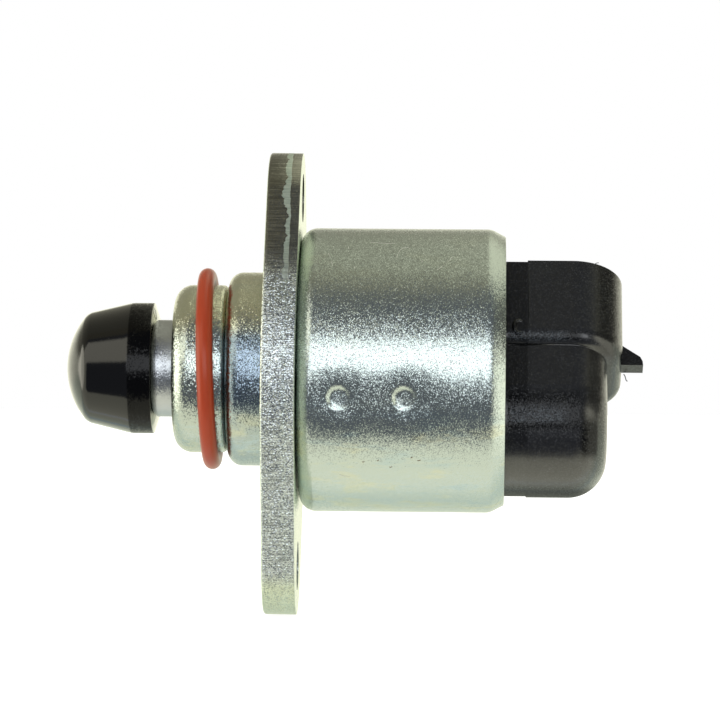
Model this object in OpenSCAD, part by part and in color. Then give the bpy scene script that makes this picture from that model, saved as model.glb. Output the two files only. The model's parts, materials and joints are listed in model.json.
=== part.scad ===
// Idle air control valve: a stepper motor that screws a conical valve in and out of an air bypass.
// The valve axis is X, the pintle points to -X and the connector end to +X.
// The origin is on the axis, in the plane of the flange face that bolts to the throttle body.
// The long axis of the flange is Z.

/* [Housing can] */
// Outer diameter of the drawn can
can_d = 36; // [34:0.5:40]
// Length of the can from the flange to the end of its crimp
can_l = 25.95; // [25.5:0.25:30]
// Sheet thickness of the can
can_t = 1.1; // [0.8:0.1:1.2]
// Outer radius of the can's front corner
can_corner = 2.1; // [1.5:0.1:2.5]
// Length of the crimp, along the axis
crimp_l = 1.85; // [1.5:0.05:2.2]
// How far the crimp is rolled in, on the radius
crimp_in = 0.98; // [0.8:0.02:1.2]
// Diameter of the flat floor of a staking dimple
dimple_d = 2; // [1.5:0.1:2.4]
// Depth of a staking dimple
dimple_depth = 0.3; // [0.2:0.05:0.4]
// Number of staking dimples round the can, over each coil
dimple_rows = 3; // [2:1:6]
// Angle of the first dimple below the -Y side
dimple_angle = 11.4; // [5:0.2:20]

/* [Mounting flange] */
// Thickness of the stamped flange
flange_t = 4.2; // [3.5:0.1:5]
// Width of the flange across the can
flange_w = 38.8; // [37:0.2:44]
// Radius of the ends of the flange
ear_r = 10.5; // [9:0.5:12]
// Reach of the upper ear from the axis
ear_up = 27.5; // [26:0.5:32]
// Reach of the lower ear from the axis
ear_down = 31.2; // [28:0.4:36]
// Diameter of the bolt holes
bolt_d = 6.2; // [5.4:0.1:6.6]
// Distance of the upper bolt hole from the axis
bolt_up = 21.8; // [20.8:0.2:22.4]
// Distance of the lower bolt hole from the axis
bolt_down = 25; // [22.6:0.2:26]

/* [Nose] */
// Diameter of the nose that the seal ring sits on
nose_d = 21.3; // [21:0.1:22]
// Reach of the nose in front of the mounting face
nose_l = 11.8; // [11.4:0.1:13]
// Corner radius at the front of the nose
nose_corner = 2.3; // [1.6:0.1:2.4]
// Diameter of the shoulder that centres the valve in its seat
shoulder_d = 24.6; // [24.4:0.1:25.2]
// Reach of the shoulder in front of the mounting face
shoulder_l = 4.95; // [4.6:0.05:5.4]
// Corner radius at the front of the shoulder
shoulder_corner = 1.85; // [1.5:0.05:2]
// Sheet thickness of the nose cover
cover_t = 1.2; // [1:0.05:1.3]
// Share of the room between the shoulder and the can's bore that the cover's rim takes
rim_share = 0.587; // [0.5:0.01:0.7]
// Concave radius between nose and shoulder
neck_fillet = 0.8; // [0.4:0.1:0.8]

/* [Seal ring] */
// Thickness of the seal ring
seal_t = 2.1; // [1.8:0.1:2.2]
// Place of the middle of the seal ring, in front of the mounting face
seal_x = 7.35; // [7.2:0.05:7.6]
// How far the ring sits askew on the nose
seal_tilt = 1.96; // [0:0.1:2.2]

/* [Pintle] */
// Largest diameter of the conical valve head
head_d = 16.6; // [16:0.2:18]
// Diameter of the front edge of the cone
head_front_d = 13.9; // [12:0.2:14]
// Length of the cone
cone_l = 5.6; // [4.6:0.2:6.4]
// Length of the cylindrical part of the head
head_land = 2.85; // [2:0.15:3.6]
// Radius of the domed tip
dome_r = 10.4; // [9:0.4:14]
// Gap between the head and the nose, at rest
head_gap = 2.65; // [2.3:0.05:3.2]
// Diameter of the metal sleeve behind the head
sleeve_d = 12.32; // [12:0.04:12.6]
// Wall of the sleeve
sleeve_t = 0.95; // [0.7:0.05:1.1]
// Outer diameter of the lead screw
screw_d = 4.8; // [4.4:0.1:5]
// Width of the lead screw across its two flats
screw_flat = 3.9; // [3.6:0.1:4.2]
// Length of the lead screw behind the mounting face, at rest
screw_back = 14; // [12:0.5:15]
// How far the pintle can draw in from rest
travel_in = 1.9; // [1.5:0.1:2]
// Wire diameter of the return spring
spring_wire = 0.6; // [0.4:0.05:0.8]
// Turns of the return spring
spring_turns = 7; // [5:1:9]

/* [Front bearing] */
// Width of the ball bearing
bearing_w = 5.8; // [5:0.1:6]
// Bore of the ball bearing
bearing_bore = 8; // [7.6:0.1:8.4]
// Diameter of the balls
ball_d = 3.2; // [2.8:0.1:3.4]
// Number of balls
balls = 8; // [6:1:9]
// Diameter of the circle of ball centres
ball_circle = 14.9; // [14.4:0.1:15.2]

/* [Motor] */
// Length of one coil cup
cup_l = 8.1; // [7.6:0.1:8.2]
// Plate thickness of the claw-pole cups
plate_t = 1; // [0.8:0.05:1.2]
// Share of the can's bore that the ring of teeth leaves open
teeth_share = 0.5533; // [0.54:0.005:0.57]
// Number of teeth on one cup
teeth = 6; // [5:1:8]
// Width of a tooth at its root
tooth_root = 4.2; // [3.4:0.1:4.4]
// Width of a tooth at its tip
tooth_tip = 2.4; // [1.6:0.1:3]
// Gap between the ring magnet and the teeth
air_gap = 0.3; // [0.2:0.05:0.5]
// Wall of the ring magnet
magnet_t = 2.65; // [2:0.05:3]
// Length of the ring magnet
magnet_l = 15; // [13:0.5:15.2]
// Diameter of the rotor's rear journal
journal_d = 6; // [5:0.2:6.4]
// Outer diameter of the rear bush
bush_d = 10; // [9:0.2:11]
// Plastic between the groove of the housing seal and the outer leads
lead_cover = 0.31; // [0.3:0.01:0.6]

/* [Connector] */
// Angle of the plug direction, tipped back from +Z
plug_angle = 30; // [0:1:45]
// Width of the plug shroud
shroud_w = 17.9; // [17:0.1:20]
// Place of the end face of the shroud, behind the mounting face
shroud_end = 45; // [44:0.2:48]
// Place of the mouth of the shroud, from the axis
shroud_top = 11.06; // [10.5:0.1:13]
// Place of the step under the shroud, from the axis
shroud_step = -0.85; // [-1:0.05:0]
// Corner radius of the shroud at its near side
shroud_corner = 6.4; // [4:0.2:6.6]
// Corner radius of the shroud at its far side
far_corner = 5; // [4:0.2:6.6]
// How much wider the shroud is at its far side
far_extra = 0.5; // [0:0.1:0.8]
// Rounding under the shroud's lower edge
shroud_edge = 2; // [1:0.1:2.4]
// Wall of the shroud
shroud_wall = 1.4; // [1.1:0.05:1.6]
// Thickness of the floor under the mouth
floor_t = 2.25; // [1.6:0.05:2.6]
// Place of the end face of the base block, behind the mounting face
base_end = 43; // [42:0.1:44]
// Set-back of the base block from the near side of the shroud
base_step = 1; // [0.6:0.1:2.2]
// Radius of the closed end of the base block
base_r = 10; // [9:0.2:10.4]
// How far the base block reaches below the axis
base_reach = 15.98; // [15.6:0.02:16]
// Radius round the end of the base block
base_corner = 4.85; // [3.6:0.05:5.2]
// Place of the line where the neck ends and the shroud starts
neck_end = 32.9; // [32.4:0.1:33.4]
// Set-in of the neck from the shroud and the base block
neck_in = 0.13; // [0.1:0.01:0.3]
// Width of the latch wedge
latch_w = 2; // [1.6:0.1:3]
// Height of the latch wedge
latch_h = 2.66; // [2:0.02:2.8]
// Spacing of the four contact blades
pin_pitch = 3; // [2.8:0.05:3.1]
// Width of a contact blade
pin_w = 1.5; // [1.2:0.1:1.6]
// Thickness of a contact blade
pin_t = 0.64; // [0.5:0.02:0.8]

/* [Hidden] */
$fn = 96;
// A cut runs this far past the face that it opens.
past = 1;
// Two pieces that slide into each other are this far apart on the radius.
fit = 0.03;

// Can
can_r = can_d / 2;
can_bore_r = can_r - can_t;
can_front = flange_t;
crimp_end = flange_t + can_l;
crimp_start = crimp_end - crimp_l;
crimp_len = norm([crimp_l, crimp_in]);
crimp_dx = can_t * crimp_in / crimp_len;
crimp_dr = can_t * crimp_l / crimp_len;
lip_x = crimp_end - crimp_dx;
lip_r = can_r - crimp_in - crimp_dr;
lip_start = lip_x - (can_bore_r - lip_r) * crimp_l / crimp_in;

// Nose cover
nose_r = nose_d / 2;
shoulder_r = shoulder_d / 2;
cover_rim_t = cover_t;
cover_rim_r = shoulder_r + rim_share * (can_bore_r - shoulder_r);
cover_back = flange_t + cover_rim_t;
sleeve_r = sleeve_d / 2;
sleeve_clear = 0.19;
lead_in = 0.3;

// Bearing and screw guide
bearing_r = shoulder_r - cover_t - fit;
bearing_back = cover_back;
bearing_front = bearing_back - bearing_w;
ball_x = (bearing_back + bearing_front) / 2;
ball_clear = 0.05;
race_gap = 1.05;
guide_web = 1;
guide_front = -shoulder_l + cover_t;
guide_bore_r = 8.6;

// Pintle
head_back = -nose_l - head_gap;
cone_back = head_back - head_land;
cone_front = cone_back - cone_l;
head_r = head_d / 2;
head_front_r = head_front_d / 2;
dome_sag = dome_r - sqrt(dome_r * dome_r - head_front_r * head_front_r);
head_heel = 0.55;
head_edge = 0.5;
head_socket = 2.1;
sleeve_front = head_back - head_socket;
sleeve_back = bearing_front - guide_web - travel_in - 0.2;
screw_cover = 1.8;
screw_front = cone_front + screw_cover;

// Stator cups
cups_front = cover_back;
cup_wall = 0.9;
cup_r = can_bore_r - 0.05;
tooth_t = 0.9;
leg_w = 1;
leg_t = 0.4;
teeth_r = teeth_share * can_bore_r;
tooth_gap = 0.6;
stack_back = cups_front + 2 * cup_l;
half_cup = cup_l / 2;
bobbin_gap = 0.05;
bobbin_t = 0.6;
bobbin_core = 0.65;
bobbin_in = teeth_r + tooth_t + 0.1;
lead_t = 0.7;
lead_y = [0.8, 5];
seal_wire = 1.2;
seal_room = 0.1;
groove_r = can_bore_r - seal_wire - seal_room;
lead_m = sqrt(pow(groove_r - lead_cover, 2) - pow(1.5 * pin_pitch + leg_w / 2, 2)) - leg_t / 2 - lead_t / 2;
bobbin_out = lead_m - 0.1;
winding_r = bobbin_out - 0.3;
lead_back = stack_back + 0.6;

// Rotor
magnet_r = teeth_r - air_gap;
hub_r = magnet_r - magnet_t;
magnet_front = cups_front + 0.6;
hub_back = magnet_front + magnet_l + 0.4;
screw_bore_r = screw_d / 2 + 0.06;
bore_end = 1.6;
journal_r = journal_d / 2;

// Housing disc, under the crimp
disc_front = stack_back;
washer_room = 1.1;
washer_t = 0.4;
washer_gap = 0.05;
washer_side = 0.3;
washer_edge = 0.5;
bush_front = hub_back + washer_room;
bush_l = 4;
bush_r = bush_d / 2;
disc_r = cup_r;
lip_gap = 0.08;
disc_back = lip_x - 0.05;
seal_set_back = 3.6;
seal_groove_x = disc_front + seal_set_back;
seal_groove_w = 1.7;
rim_t = 4.3;
rim_r = can_bore_r - rim_t;

// Plug shroud and base block, in the frame that plug_frame() sets
half_w = shroud_w / 2;
near_y = -half_w + base_step;
shroud_far = half_w + far_extra;
far_y = half_w - 0.65;
tower_front = disc_back - 0.4;
base_y = near_y + base_r - 0.02;
base_z = (base_r + sin(plug_angle) * base_y - base_reach) / cos(plug_angle);
cavity_step = 1.5;
cavity_front = neck_end + cavity_step;
floor_z = shroud_step + floor_t;
latch_z = 0.5;
latch_rise = 2.85;
latch_nose = 1.22;
pin_x = (cavity_front + shroud_end - shroud_wall) / 2;
leg_z = -0.9;
leg_x = 28.3;
leg_m = lead_m + lead_t / 2;
pin_recess = 2.2;
pin_top = shroud_top - pin_recess;

// Profiles are drawn with the radius across and the place along the axis up.
module turned() {
    rotate([0, 90, 0])
        rotate_extrude()
            children();
}

// A box in a profile, from radius r0 to r1 and from x0 to x1.
module band(r0, r1, x0, x1) {
    translate([r0, x0])
        square([r1 - r0, x1 - x0]);
}

// A solid round bar along the axis.
module bar(r, x0, x1) {
    translate([x0, 0, 0])
        rotate([0, 90, 0])
            cylinder(r = r, h = x1 - x0);
}

// A box from one corner to the other.
module block(low, high) {
    translate(low)
        cube(high - low);
}

// The plug direction becomes +Z, and -Y is the side that shows beside the can's dimples.
module plug_frame() {
    rotate([-plug_angle, 0, 0])
        children();
}

// Extrudes a drawing of Y across and Z up along X.
module along_x(x0, x1) {
    translate([x0, 0, 0])
        rotate([90, 0, 90])
            linear_extrude(x1 - x0)
                children();
}

// The places of the staking dimples, each with Z pointing out of the can.
module at_dimples() {
    for (cup = [0, 1])
        for (row = [0 : dimple_rows - 1])
            translate([cups_front + half_cup * (2 * cup + 1) + 0.2, 0, 0])
                rotate([90 + dimple_angle + row * 360 / dimple_rows, 0, 0])
                    children();
}

module can_profile() {
    difference() {
        union() {
            band(0, can_r, can_front + can_corner, crimp_start);
            band(0, can_r - can_corner, can_front, crimp_start);
            translate([can_r - can_corner, can_front + can_corner])
                circle(can_corner);
            polygon([
                [0, crimp_start],
                [can_r, crimp_start],
                [can_r - crimp_in, crimp_end],
                [lip_r, lip_x],
                [0, lip_x]
            ]);
        }
        band(-past, can_bore_r, can_front + can_corner, lip_start);
        band(-past, can_r - can_corner, can_front + can_t, lip_start);
        translate([can_r - can_corner, can_front + can_corner])
            circle(can_corner - can_t);
        band(-past, cover_rim_r + fit, can_front - past, cover_back);
        polygon([
            [-past, lip_start - past],
            [can_bore_r, lip_start - past],
            [can_bore_r, lip_start],
            [lip_r, lip_x],
            [lip_r, lip_x + past],
            [-past, lip_x + past]
        ]);
    }
}

module can() {
    color("silver")
        difference() {
            union() {
                turned()
                    can_profile();
                at_dimples()
                    translate([0, 0, can_bore_r - dimple_depth])
                        cylinder(d = dimple_d, h = can_t);
            }
            at_dimples()
                translate([0, 0, can_r - dimple_depth])
                    cylinder(d1 = dimple_d, d2 = dimple_d + 3 * dimple_depth, h = 1.5 * dimple_depth);
        }
}

// Outline of the flange: a round middle and two rounded ears, joined by tangents.
module flange_outline() {
    middle_r = flange_w / 2;
    circle(middle_r);
    for (ear = [[ear_up, 1], [ear_down, -1]]) {
        reach = ear[0] - ear_r;
        slope = asin((middle_r - ear_r) / reach);
        scale([1, ear[1]]) {
            translate([0, reach])
                circle(ear_r);
            polygon([
                [middle_r * cos(slope), middle_r * sin(slope)],
                [ear_r * cos(slope), reach + ear_r * sin(slope)],
                [-ear_r * cos(slope), reach + ear_r * sin(slope)],
                [-middle_r * cos(slope), middle_r * sin(slope)]
            ]);
        }
    }
}

module mounting_flange() {
    color("lightgray")
        difference() {
            along_x(0, flange_t)
                flange_outline();
            bar(shoulder_r + fit, -past, flange_t + past);
            for (z = [bolt_up, -bolt_down])
                translate([0, 0, z])
                    bar(bolt_d / 2, -past, flange_t + past);
        }
}

// One skin of the drawn nose cover, set in by the distance inset.
module cover_skin(inset) {
    front = -nose_l + inset;
    step = -shoulder_l + inset;
    nose_in = nose_r - nose_corner;
    shoulder_in = shoulder_r - shoulder_corner;
    band(0, nose_in, front, cover_back + inset);
    band(0, nose_r - inset, -nose_l + nose_corner, cover_back + inset);
    translate([nose_in, -nose_l + nose_corner])
        circle(nose_corner - inset);
    band(0, shoulder_in, step, cover_back + inset);
    band(0, shoulder_r - inset, -shoulder_l + shoulder_corner, cover_back + inset);
    translate([shoulder_in, -shoulder_l + shoulder_corner])
        circle(shoulder_corner - inset);
}

module nose_cover() {
    color("khaki")
        turned()
            difference() {
                union() {
                    intersection() {
                        cover_skin(0);
                        band(0, can_r, -nose_l, cover_back);
                    }
                    band(0, cover_rim_r, flange_t, cover_back);
                    difference() {
                        band(0, nose_r + neck_fillet, -shoulder_l - neck_fillet, -shoulder_l + 0.1);
                        translate([nose_r + neck_fillet, -shoulder_l - neck_fillet])
                            circle(neck_fillet);
                    }
                }
                cover_skin(cover_t);
                band(-past, sleeve_r + sleeve_clear, -nose_l - past, 0);
                polygon([
                    [0, -nose_l - lead_in],
                    [sleeve_r + sleeve_clear + 6 * lead_in, -nose_l - lead_in],
                    [sleeve_r + sleeve_clear, -nose_l + lead_in],
                    [0, -nose_l + lead_in]
                ]);
            }
}

module nose_o_ring() {
    ring_r = nose_r + 0.05 + seal_t / 2;
    color("orangered")
        translate([-seal_x, 0, 0])
            rotate([0, -seal_tilt, 0])
                turned()
                    translate([ring_r, 0])
                        circle(d = seal_t);
}

module valve_head() {
    color([0.1, 0.1, 0.1])
        difference() {
            turned()
                union() {
                    intersection() {
                        translate([0, cone_front - dome_sag + dome_r])
                            circle(dome_r);
                        band(0, head_front_r, cone_front - dome_sag - past, cone_front);
                    }
                    polygon([
                        [0, cone_front],
                        [head_front_r, cone_front],
                        [head_r, cone_back],
                        [head_r, head_back],
                        [sleeve_r + 0.4, head_back + head_heel],
                        [0, head_back + head_heel]
                    ]);
                }
            bar(sleeve_r, sleeve_front, head_back + head_heel + past);
            bar(screw_d / 2, screw_front, head_back);
        }
}

module pintle_sleeve() {
    color("gray")
        difference() {
            bar(sleeve_r, sleeve_front, sleeve_back);
            bar(sleeve_r - sleeve_t, sleeve_front + sleeve_t, sleeve_back + past);
            bar(screw_d / 2, sleeve_front - past, sleeve_back);
        }
}

// The lead screw: round in the head, then with the two flats that stop it from turning.
module lead_screw() {
    color("slategray")
        union() {
            bar(screw_d / 2, screw_front, sleeve_front + sleeve_t);
            intersection() {
                bar(screw_d / 2, sleeve_front, screw_back);
                block([sleeve_front, -screw_flat / 2, -screw_d], [screw_back, screw_flat / 2, screw_d]);
            }
        }
}

// Rings of points along the spring's helix, and the faces between them.
function spring_centre(turn, mean_r, start, end) =
    [start + (end - start) * turn / spring_turns, mean_r * cos(360 * turn), mean_r * sin(360 * turn)];
function spring_ring(turn, mean_r, start, end, sides) = [
    for (i = [0 : sides - 1])
        let (a = 360 * i / sides, swell = mean_r + spring_wire / 2 * cos(a))
        [
            spring_centre(turn, mean_r, start, end)[0] + spring_wire / 2 * sin(a),
            swell * cos(360 * turn),
            swell * sin(360 * turn)
        ]
];

module return_spring() {
    sides = 8;
    steps = 20;
    rings = spring_turns * steps;
    mean_r = sleeve_r - sleeve_t - 0.15 - spring_wire;
    start = sleeve_front + sleeve_t + spring_wire / 2 + 0.05;
    end = bearing_front - guide_web - spring_wire / 2 - 0.05;
    points = [
        for (i = [0 : rings])
            each spring_ring(i / steps, mean_r, start, end, sides)
    ];
    walls = [
        for (i = [0 : rings - 1])
            for (j = [0 : sides - 1])
                let (k = (j + 1) % sides)
                [i * sides + j, i * sides + k, (i + 1) * sides + k, (i + 1) * sides + j]
    ];
    first_cap = [for (j = [0 : sides - 1]) sides - 1 - j];
    last_cap = [for (j = [0 : sides - 1]) rings * sides + j];
    color("darkgray")
        polyhedron(points, concat([first_cap], walls, [last_cap]), convexity = 10);
}

// A cup that keeps the bearing off the step of the cover, with the keyed web that the screw slides in.
module screw_guide() {
    key = 0.05;
    color("ivory")
        difference() {
            turned()
                difference() {
                    polygon([
                        [0, guide_front + 0.02],
                        [bearing_r - 0.7, guide_front + 0.02],
                        [bearing_r, guide_front + 0.72],
                        [bearing_r, bearing_front],
                        [0, bearing_front]
                    ]);
                    band(-past, guide_bore_r, guide_front - past, bearing_front - guide_web);
                }
            intersection() {
                bar(screw_d / 2 + key, guide_front, bearing_front + past);
                block(
                    [guide_front, -screw_flat / 2 - key, -screw_d],
                    [bearing_front + past, screw_flat / 2 + key, screw_d]
                );
            }
        }
}

// One race of the bearing, with its groove for the balls.
module race(r0, r1) {
    turned()
        difference() {
            band(r0, r1, bearing_front, bearing_back);
            translate([ball_circle / 2, ball_x])
                circle(d = ball_d + 2 * ball_clear);
        }
}

module bearing_outer_race() {
    color("lightsteelblue")
        race(ball_circle / 2 + race_gap, bearing_r);
}

module bearing_inner_race() {
    color("lightsteelblue")
        race(bearing_bore / 2, ball_circle / 2 - race_gap);
}

module at_balls() {
    for (i = [0 : balls - 1])
        rotate([360 * i / balls, 0, 0])
            translate([ball_x, 0, ball_circle / 2])
                children();
}

module bearing_balls() {
    color("white")
        at_balls()
            sphere(d = ball_d);
}

module bearing_cage() {
    cage_t = 0.8;
    cage_w = bearing_w - 1;
    color("goldenrod")
        difference() {
            turned()
                band(
                    (ball_circle - cage_t) / 2,
                    (ball_circle + cage_t) / 2,
                    ball_x - cage_w / 2,
                    ball_x + cage_w / 2
                );
            at_balls()
                cylinder(d = ball_d + 0.12, h = 4 * cage_t, center = true);
        }
}

module rotor_hub() {
    color("wheat")
        difference() {
            union() {
                bar(bearing_bore / 2, bearing_front + 0.2, bearing_back);
                bar(hub_r, bearing_back, hub_back);
                bar(journal_r, hub_back, bush_front + bush_l - 0.3);
            }
            bar(screw_bore_r, bearing_front, screw_back + travel_in + bore_end);
        }
}

module ring_magnet() {
    color([0.25, 0.25, 0.27])
        turned()
            band(hub_r, magnet_r, magnet_front, magnet_front + magnet_l);
}

// Half of a coil cup, open to +X: a disc, an outer wall and a ring of pointed teeth.
module half_cup_shape(turn) {
    tooth_l = cup_l - 2 * plate_t - tooth_gap;
    corner = can_corner - can_t;
    turned()
        difference() {
            union() {
                band(teeth_r, cup_r - corner, 0, plate_t);
                band(cup_r - corner, cup_r, corner, half_cup);
                translate([cup_r - corner, corner])
                    circle(corner);
            }
            band(0, cup_r - cup_wall, plate_t, half_cup + past);
        }
    intersection() {
        turned()
            band(teeth_r, teeth_r + tooth_t, 0, plate_t + tooth_l);
        union()
            for (i = [0 : teeth - 1])
                rotate([turn + 360 * i / teeth, 0, 0])
                    linear_extrude(teeth_r + 2 * tooth_t)
                        polygon([
                            [0, -tooth_root / 2],
                            [plate_t, -tooth_root / 2],
                            [plate_t + tooth_l, -tooth_tip / 2],
                            [plate_t + tooth_l, tooth_tip / 2],
                            [plate_t, tooth_root / 2],
                            [0, tooth_root / 2]
                        ]);
    }
}

// The slot in a cup's disc that the coil leads pass through.
module lead_slot(x0, x1, y0, y1) {
    plug_frame()
        block([x0, y0, lead_m - 0.1], [x1, y1, lead_m + lead_t + 0.1]);
}

// The four cups in order: each odd one opens to the rear and each even one to the front.
module claw_cup(index) {
    coil = floor((index - 1) / 2);
    opens_back = index % 2 == 1;
    turn = coil * 90 / teeth + (opens_back ? 0 : 180 / teeth);
    front = cups_front + coil * cup_l;
    color("dimgray")
        difference() {
            if (opens_back)
                translate([front, 0, 0])
                    half_cup_shape(turn);
            else
                translate([front + cup_l, 0, 0])
                    mirror([1, 0, 0])
                        half_cup_shape(turn);
            at_dimples()
                cylinder(d = dimple_d + 0.6, h = can_r);
            if (index > 1)
                lead_slot(front + half_cup * (opens_back ? 0 : 1), front + (opens_back ? plate_t : cup_l) + fit,
                    index == 4 ? -lead_y[1] - 0.1 : lead_y[0] - 0.1, lead_y[1] + 0.1);
        }
}

module claw_cup_1() claw_cup(1);
module claw_cup_2() claw_cup(2);
module claw_cup_3() claw_cup(3);
module claw_cup_4() claw_cup(4);

// A bobbin with a block for its two leads, on the side given by the sign lead_side.
module bobbin(coil, lead_side) {
    x0 = cups_front + coil * cup_l + plate_t + bobbin_gap;
    x1 = cups_front + (coil + 1) * cup_l - plate_t - bobbin_gap;
    y0 = lead_side > 0 ? lead_y[0] : -lead_y[1];
    y1 = lead_side > 0 ? lead_y[1] : -lead_y[0];
    color("white")
        union() {
            turned() {
                band(bobbin_in, bobbin_in + bobbin_core, x0, x1);
                band(bobbin_in, bobbin_out, x0, x0 + bobbin_t);
                band(bobbin_in, bobbin_out, x1 - bobbin_t, x1);
            }
            plug_frame() {
                block([x1 - bobbin_t, y0, bobbin_in + bobbin_core], [x1, y1, lead_m + lead_t]);
                block([x1 - bobbin_t, y0, lead_m], [lead_back, y1, lead_m + lead_t]);
            }
        }
}

module front_bobbin() bobbin(0, 1);
module rear_bobbin() bobbin(1, -1);

module winding(coil) {
    x0 = cups_front + coil * cup_l + plate_t + bobbin_gap + bobbin_t + bobbin_gap;
    x1 = cups_front + (coil + 1) * cup_l - plate_t - bobbin_gap - bobbin_t - bobbin_gap;
    color("peru")
        turned()
            band(bobbin_in + bobbin_core + bobbin_gap, winding_r, x0, x1);
}

module front_winding() winding(0);
module rear_winding() winding(1);

module rear_bush() {
    color("darkgoldenrod")
        difference() {
            bar(bush_r, bush_front, bush_front + bush_l);
            bar(journal_r + 0.04, bush_front - past, bush_front + bush_l + past);
        }
}

// A coned spring washer that takes up the end play of the rotor.
module preload_washer() {
    color("silver")
        turned()
            polygon([
                [journal_r + washer_side, bush_front - washer_t],
                [journal_r + washer_side, bush_front],
                [hub_r - washer_edge, hub_back + washer_t + washer_gap],
                [hub_r - washer_edge, hub_back + washer_gap]
            ]);
}

module housing_seal() {
    color([0.15, 0.15, 0.16])
        translate([seal_groove_x + seal_groove_w / 2, 0, 0])
            turned()
                translate([can_bore_r - fit - seal_wire / 2, 0])
                    circle(d = seal_wire);
}

// Section of the shroud or of the base block, square to the plug direction, with its two rear corners.
module plug_section(x0, x1, y0, y1, near_r, far_r) {
    translate([x0, y0])
        square([x1 - max(near_r, far_r) - x0, y1 - y0]);
    translate([x0, y0 + near_r])
        square([x1 - x0, y1 - y0 - near_r - far_r]);
    translate([x0, y0])
        square([x1 - near_r - x0, near_r]);
    translate([x0, y1 - far_r])
        square([x1 - far_r - x0, far_r]);
    translate([x1 - near_r, y0 + near_r])
        circle(near_r);
    translate([x1 - far_r, y1 - far_r])
        circle(far_r);
}

// One side of the shroud, from the axis of its corner out, with the lower edge rounded.
module shroud_side(reach) {
    edge_z = shroud_step + shroud_edge;
    band(0, reach, edge_z, shroud_top);
    band(0, reach - shroud_edge, shroud_step, shroud_top);
    translate([reach - shroud_edge, edge_z])
        circle(shroud_edge);
}

// A quarter turn of the side, for one of the two rear corners.
module shroud_turn(radius, low_y) {
    intersection() {
        rotate_extrude()
            shroud_side(radius);
        block([0, low_y, shroud_step - past], [radius + past, low_y + radius + past, shroud_top + past]);
    }
}

// The outside of the shroud: its two sides, its end between them, and the two corners.
module shroud_body() {
    near_axis = shroud_corner - half_w;
    far_axis = shroud_far - far_corner;
    along_x(neck_end, shroud_end - shroud_corner)
        translate([near_axis, 0])
            mirror([1, 0])
                shroud_side(shroud_corner);
    along_x(neck_end, shroud_end - far_corner)
        translate([far_axis, 0])
            shroud_side(far_corner);
    translate([neck_end, far_axis, 0])
        rotate([90, 0, 0])
            linear_extrude(far_axis - near_axis)
                shroud_side(shroud_end - neck_end);
    translate([shroud_end - shroud_corner, near_axis, 0])
        shroud_turn(shroud_corner, -shroud_corner - past);
    translate([shroud_end - far_corner, far_axis, 0])
        shroud_turn(far_corner, 0);
}

// The base block: straight sides, a large round closed end, and one radius all round its rear face.
module base_body() {
    intersection() {
        union() {
            translate([0, base_y, base_z])
                turned() {
                    band(0, base_r, neck_end, base_end - base_corner);
                    band(0, base_r - base_corner, neck_end, base_end);
                    intersection() {
                        translate([base_r - base_corner, base_end - base_corner])
                            circle(base_corner);
                        band(0, base_r, neck_end, base_end);
                    }
                }
            block([neck_end, -2 * base_r, base_z], [base_end, 2 * base_r, floor_z]);
        }
        translate([0, 0, -2 * base_r])
            linear_extrude(4 * base_r)
                plug_section(neck_end, base_end, near_y, far_y, base_corner, base_corner);
    }
}

// The neck between the can and the shroud: the same outline, set in a little.
module neck_outline() {
    edge_r = shroud_edge - neck_in;
    low = shroud_step + neck_in;
    near = neck_in - half_w;
    far = shroud_far - neck_in;
    translate([near, low + edge_r])
        square([far - near, shroud_top - neck_in - low - edge_r]);
    translate([near + edge_r, low])
        square([far - near - 2 * edge_r, edge_r]);
    for (y = [near + edge_r, far - edge_r])
        translate([y, low + edge_r])
            circle(edge_r);
    intersection() {
        union() {
            translate([base_y, base_z])
                circle(base_r - neck_in);
            translate([-2 * base_r, base_z])
                square([4 * base_r, floor_z - base_z]);
        }
        translate([near_y + neck_in, -2 * base_r])
            square([far_y - near_y - 2 * neck_in, 4 * base_r]);
    }
}

// The round disc that the can's crimp holds, with the pocket of the rear bush and the seal's groove.
module disc_profile() {
    difference() {
        polygon([
            [0, disc_front],
            [disc_r, disc_front],
            [disc_r, lip_start - 0.05],
            [lip_r - lip_gap, disc_back],
            [0, disc_back]
        ]);
        band(-past, rim_r, disc_front - past, bush_front);
        band(-past, bush_r, bush_front - past, bush_front + bush_l);
        band(-past, journal_r + 0.3, bush_front, bush_front + bush_l + 0.6);
        band(groove_r, can_r, seal_groove_x, seal_groove_x + seal_groove_w);
    }
}

module latch() {
    translate([0, latch_w / 2, latch_z])
        rotate([90, 0, 0])
            linear_extrude(latch_w)
                polygon([
                    [shroud_end - 1, 0],
                    [shroud_end + latch_h, 0],
                    [shroud_end + latch_h - 0.06, 0.6],
                    [shroud_end + latch_h - 0.36, latch_nose],
                    [shroud_end, latch_rise],
                    [shroud_end - 1, latch_rise]
                ]);
}

module connector_housing() {
    color([0.12, 0.12, 0.13])
        difference() {
            union() {
                turned()
                    disc_profile();
                plug_frame() {
                    difference() {
                        along_x(tower_front, neck_end + 0.01)
                            neck_outline();
                        difference() {
                            bar(2 * can_r, tower_front - past, crimp_end + 0.05);
                            bar(lip_r - lip_gap, tower_front - 2 * past, crimp_end + past);
                        }
                    }
                    shroud_body();
                    base_body();
                    latch();
                }
            }
            plug_frame() {
                translate([0, 0, floor_z])
                    linear_extrude(shroud_top)
                        plug_section(cavity_front, shroud_end - shroud_wall, shroud_wall - half_w,
                            shroud_far - shroud_wall, shroud_corner - shroud_wall, far_corner - shroud_wall);
                block([disc_front - past, -lead_y[1] - 0.1, lead_m - 0.1],
                    [lead_back, lead_y[1] + 0.1, lead_m + lead_t + 0.1]);
            }
            for (index = [1 : 4])
                terminal(index);
        }
}

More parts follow.
